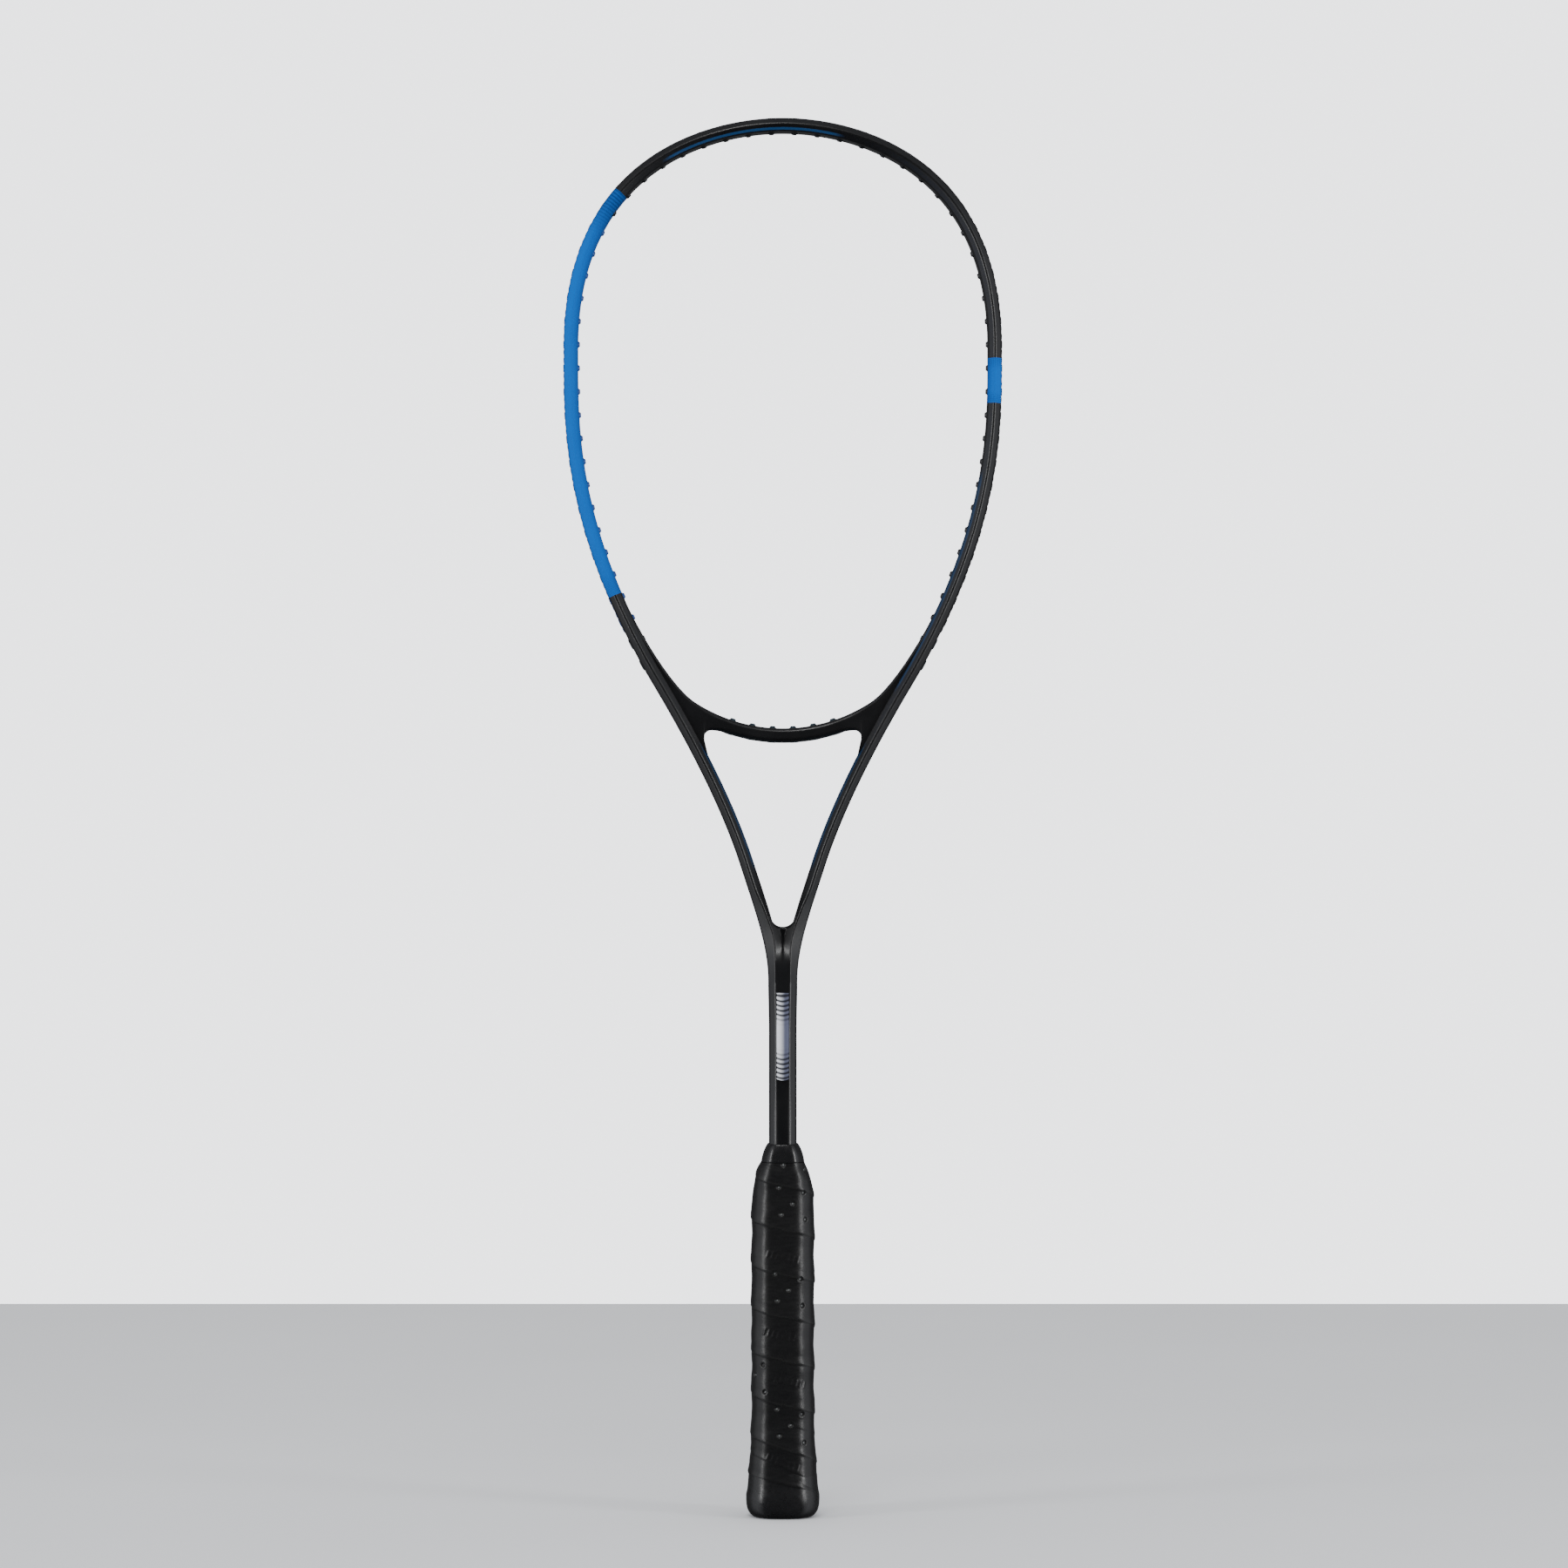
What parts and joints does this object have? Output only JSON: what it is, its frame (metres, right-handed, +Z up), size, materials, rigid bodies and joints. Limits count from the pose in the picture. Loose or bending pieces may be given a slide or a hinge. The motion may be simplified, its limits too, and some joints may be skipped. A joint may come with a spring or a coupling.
{
  "type": "squash racket",
  "caption": "Unstrung squash racket: hollow graphite teardrop head and open throat, drilled for strings with grommet strips, slim shaft, octagonal wrapped grip and flared butt cap.",
  "frame": {"origin": "centre of the underside of the butt cap", "axes": "+Z up the shaft to the crown of the head, X across the head in the string plane, front of the racket faces -Y"},
  "size_m": [0.215, 0.0328, 0.685],
  "materials": {
    "graphite_paint": "satin gloss black over graphite, with blue sections",
    "nylon_black": "moulded nylon",
    "nylon_blue": "moulded nylon",
    "badge_silver": "brushed foil with dark rings",
    "pallet_foam": "dense moulded foam",
    "cap_black": "smooth satin moulding",
    "grip_tape": "tacky polyurethane tape, perforated",
    "finishing_tape": "vinyl tape",
    "collar_rubber": "smooth soft rubber",
    "staple_steel": "drawn wire"
  },
  "bodies": {
    "root": {"hairpin_tube": "graphite_paint", "throat_bridge": "graphite_paint", "fork_web": "graphite_paint", "shaft_tube": "graphite_paint", "shaft_badge": "badge_silver", "bumper_guard": "nylon_black", "grommet_strip_left": "nylon_blue", "grommet_strip_right": "nylon_black", "grommet_strip_bridge": "nylon_black", "throat_grommet_left_upper": "nylon_black", "throat_grommet_left_lower": "nylon_black", "throat_grommet_right_upper": "nylon_black", "throat_grommet_right_lower": "nylon_black", "pallet_front": "pallet_foam", "pallet_rear": "pallet_foam", "butt_cap": "cap_black", "butt_staple_left": "staple_steel", "butt_staple_right": "staple_steel", "grip_wrap": "grip_tape", "finishing_tape": "finishing_tape", "grip_collar": "collar_rubber"}
  },
  "joints": []
}
